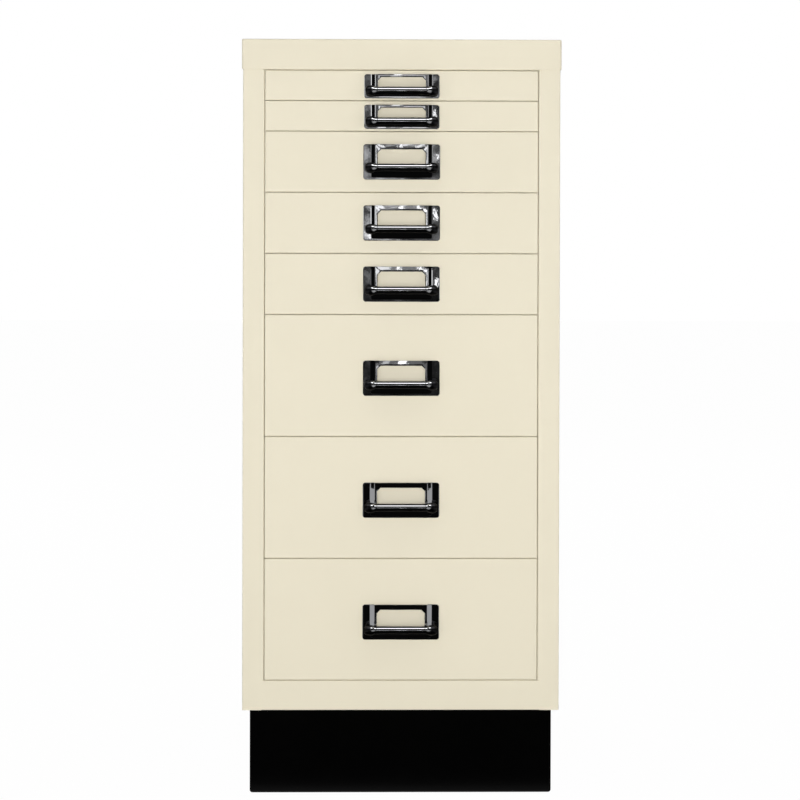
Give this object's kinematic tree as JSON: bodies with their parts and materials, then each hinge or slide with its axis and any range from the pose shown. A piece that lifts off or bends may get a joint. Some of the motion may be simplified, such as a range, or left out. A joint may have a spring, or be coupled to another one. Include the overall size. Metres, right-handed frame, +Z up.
{
  "type": "multi-drawer cabinet",
  "caption": "Tall narrow steel drawer cabinet with sliding drawers of three depths, label-frame pull handles and a recessed plinth.",
  "frame": {"origin": "on the floor under the middle of the object's bounding box, handles included", "axes": "+Z up, +X to the right seen from the front, the drawers open towards -Y"},
  "size_m": [0.279, 0.3952, 0.6681],
  "materials": {
    "cream_paint": "smooth satin powder coat in pale cream",
    "chrome": "bright chromium plate",
    "black_paint": "satin black powder coat",
    "zinc_steel": "bright zinc plate"
  },
  "bodies": {
    "cabinet": {"lid": "cream_paint", "left_side_panel": "cream_paint", "right_side_panel": "cream_paint", "header_rail": "cream_paint", "bottom_panel": "cream_paint", "back_panel": "cream_paint", "plinth": "black_paint", "plinth_screws": "zinc_steel", "left_front_post": "zinc_steel", "left_rear_post": "zinc_steel", "left_runner_1": "zinc_steel", "left_runner_2": "zinc_steel", "left_runner_3": "zinc_steel", "left_runner_4": "zinc_steel", "left_runner_5": "zinc_steel", "left_runner_6": "zinc_steel", "left_runner_7": "zinc_steel", "left_runner_8": "zinc_steel", "right_front_post": "zinc_steel", "right_rear_post": "zinc_steel", "right_runner_1": "zinc_steel", "right_runner_2": "zinc_steel", "right_runner_3": "zinc_steel", "right_runner_4": "zinc_steel", "right_runner_5": "zinc_steel", "right_runner_6": "zinc_steel", "right_runner_7": "zinc_steel", "right_runner_8": "zinc_steel"},
    "drawer_1": {"drawer_1_tray": "cream_paint", "drawer_1_front": "cream_paint", "drawer_1_handle": "chrome", "drawer_1_handle_clips": "zinc_steel"},
    "drawer_2": {"drawer_2_tray": "cream_paint", "drawer_2_front": "cream_paint", "drawer_2_handle": "chrome", "drawer_2_handle_clips": "zinc_steel"},
    "drawer_3": {"drawer_3_tray": "cream_paint", "drawer_3_front": "cream_paint", "drawer_3_handle": "chrome", "drawer_3_handle_clips": "zinc_steel"},
    "drawer_4": {"drawer_4_tray": "cream_paint", "drawer_4_front": "cream_paint", "drawer_4_handle": "chrome", "drawer_4_handle_clips": "zinc_steel"},
    "drawer_5": {"drawer_5_tray": "cream_paint", "drawer_5_front": "cream_paint", "drawer_5_handle": "chrome", "drawer_5_handle_clips": "zinc_steel"},
    "drawer_6": {"drawer_6_tray": "cream_paint", "drawer_6_front": "cream_paint", "drawer_6_handle": "chrome", "drawer_6_handle_clips": "zinc_steel"},
    "drawer_7": {"drawer_7_tray": "cream_paint", "drawer_7_front": "cream_paint", "drawer_7_handle": "chrome", "drawer_7_handle_clips": "zinc_steel"},
    "drawer_8": {"drawer_8_tray": "cream_paint", "drawer_8_front": "cream_paint", "drawer_8_handle": "chrome", "drawer_8_handle_clips": "zinc_steel"}
  },
  "joints": [
    {"name": "drawer_1_slide", "type": "slide", "parent": "cabinet", "child": "drawer_1", "axis": [0, -1, 0], "range_m": [0, 0.275]},
    {"name": "drawer_2_slide", "type": "slide", "parent": "cabinet", "child": "drawer_2", "axis": [0, -1, 0], "range_m": [0, 0.275]},
    {"name": "drawer_3_slide", "type": "slide", "parent": "cabinet", "child": "drawer_3", "axis": [0, -1, 0], "range_m": [0, 0.275]},
    {"name": "drawer_4_slide", "type": "slide", "parent": "cabinet", "child": "drawer_4", "axis": [0, -1, 0], "range_m": [0, 0.275]},
    {"name": "drawer_5_slide", "type": "slide", "parent": "cabinet", "child": "drawer_5", "axis": [0, -1, 0], "range_m": [0, 0.275]},
    {"name": "drawer_6_slide", "type": "slide", "parent": "cabinet", "child": "drawer_6", "axis": [0, -1, 0], "range_m": [0, 0.275]},
    {"name": "drawer_7_slide", "type": "slide", "parent": "cabinet", "child": "drawer_7", "axis": [0, -1, 0], "range_m": [0, 0.275]},
    {"name": "drawer_8_slide", "type": "slide", "parent": "cabinet", "child": "drawer_8", "axis": [0, -1, 0], "range_m": [0, 0.275]}
  ]
}
